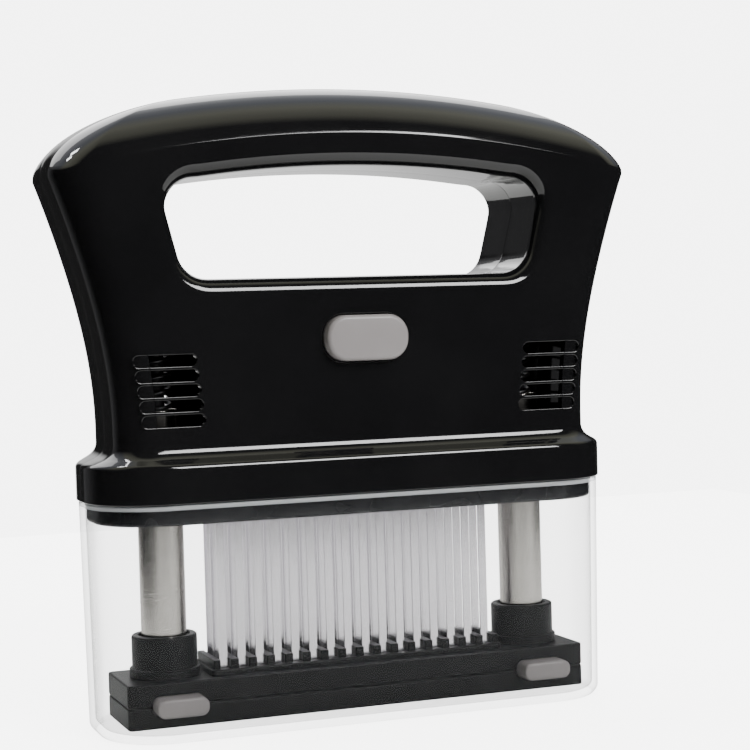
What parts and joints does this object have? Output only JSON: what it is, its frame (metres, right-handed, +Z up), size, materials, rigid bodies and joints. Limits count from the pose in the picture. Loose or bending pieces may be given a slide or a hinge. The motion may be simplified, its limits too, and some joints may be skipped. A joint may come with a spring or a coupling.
{
  "type": "blade meat tenderizer",
  "caption": "Hand-held blade meat tenderizer: arched handle housing, rows of steel blades, spring-loaded foot on two guide tubes, release buttons and a clear pull-off cover.",
  "frame": {"origin": "middle of the underside of the clear cover, on which the tool stands", "axes": "+Z up through the handle, X along the row of blades, -Y towards the front with the push buttons"},
  "size_m": [0.1748, 0.0492, 0.1809],
  "materials": {
    "housing": "gloss black moulded plastic",
    "skirt": "semi-gloss black moulded plastic",
    "foot": "satin charcoal moulded plastic",
    "buttons": "satin grey plastic",
    "cover": "clear moulded plastic",
    "tubes": "satin stainless steel",
    "blades": "polished stainless steel",
    "fasteners": "zinc-plated steel",
    "springs": "spring steel",
    "bushings": "satin black acetal",
    "inner_plastic": "matt dark plastic"
  },
  "bodies": {
    "handle": {"front_shell": "housing", "rear_shell": "housing", "shell_screws": "fasteners", "base_plate": "skirt", "base_plate_screws": "fasteners", "tube_bushing_left": "bushings", "tube_bushing_right": "bushings", "spring_rod_left": "inner_plastic", "spring_rod_right": "inner_plastic", "return_spring_left": "springs", "return_spring_right": "springs", "blade_row_front": "blades", "blade_row_middle": "blades", "blade_row_rear": "blades", "blade_bar_front": "inner_plastic", "blade_bar_rear": "inner_plastic", "blade_spacer_front": "inner_plastic", "blade_spacer_rear": "inner_plastic", "blade_pack_bolts": "fasteners", "blade_pack_nuts": "fasteners", "lock_spring": "springs"},
    "foot": {"upper_foot_plate": "foot", "lower_foot_plate": "foot", "tube_anchor_screws": "fasteners", "guide_tube_left": "tubes", "guide_tube_right": "tubes", "tube_plug_left": "inner_plastic", "tube_plug_right": "inner_plastic", "stop_ring_left": "fasteners", "stop_ring_right": "fasteners", "foot_button_spring_left": "springs", "foot_button_spring_right": "springs"},
    "lock_button": {"lock_button": "buttons"},
    "foot_button_left": {"foot_button_left": "buttons"},
    "foot_button_right": {"foot_button_right": "buttons"},
    "clear_cover": {"clear_cover": "cover"}
  },
  "joints": [
    {"name": "foot_slide", "type": "slide", "parent": "handle", "child": "foot", "axis": [0, 0, 1], "range_m": [0, 0.027], "stiffness_N_per_m": 500, "springref_m": -0.012, "deforming": ["return_spring_left", "return_spring_right"]},
    {"name": "foot_button_left_press", "type": "slide", "parent": "foot", "child": "foot_button_left", "axis": [0, 1, 0], "range_m": [0, 0.0012], "stiffness_N_per_m": 800, "springref_m": -0.001, "deforming": ["foot_button_spring_left"]},
    {"name": "foot_button_right_press", "type": "slide", "parent": "foot", "child": "foot_button_right", "axis": [0, 1, 0], "range_m": [0, 0.0012], "stiffness_N_per_m": 800, "springref_m": -0.001, "deforming": ["foot_button_spring_right"]},
    {"name": "lock_button_press", "type": "slide", "parent": "handle", "child": "lock_button", "axis": [0, 1, 0], "range_m": [0, 0.003], "stiffness_N_per_m": 700, "springref_m": -0.002, "deforming": ["lock_spring"]},
    {"name": "cover_slide", "type": "slide", "parent": "handle", "child": "clear_cover", "axis": [0, 0, -1], "range_m": [0, 0.075]}
  ]
}
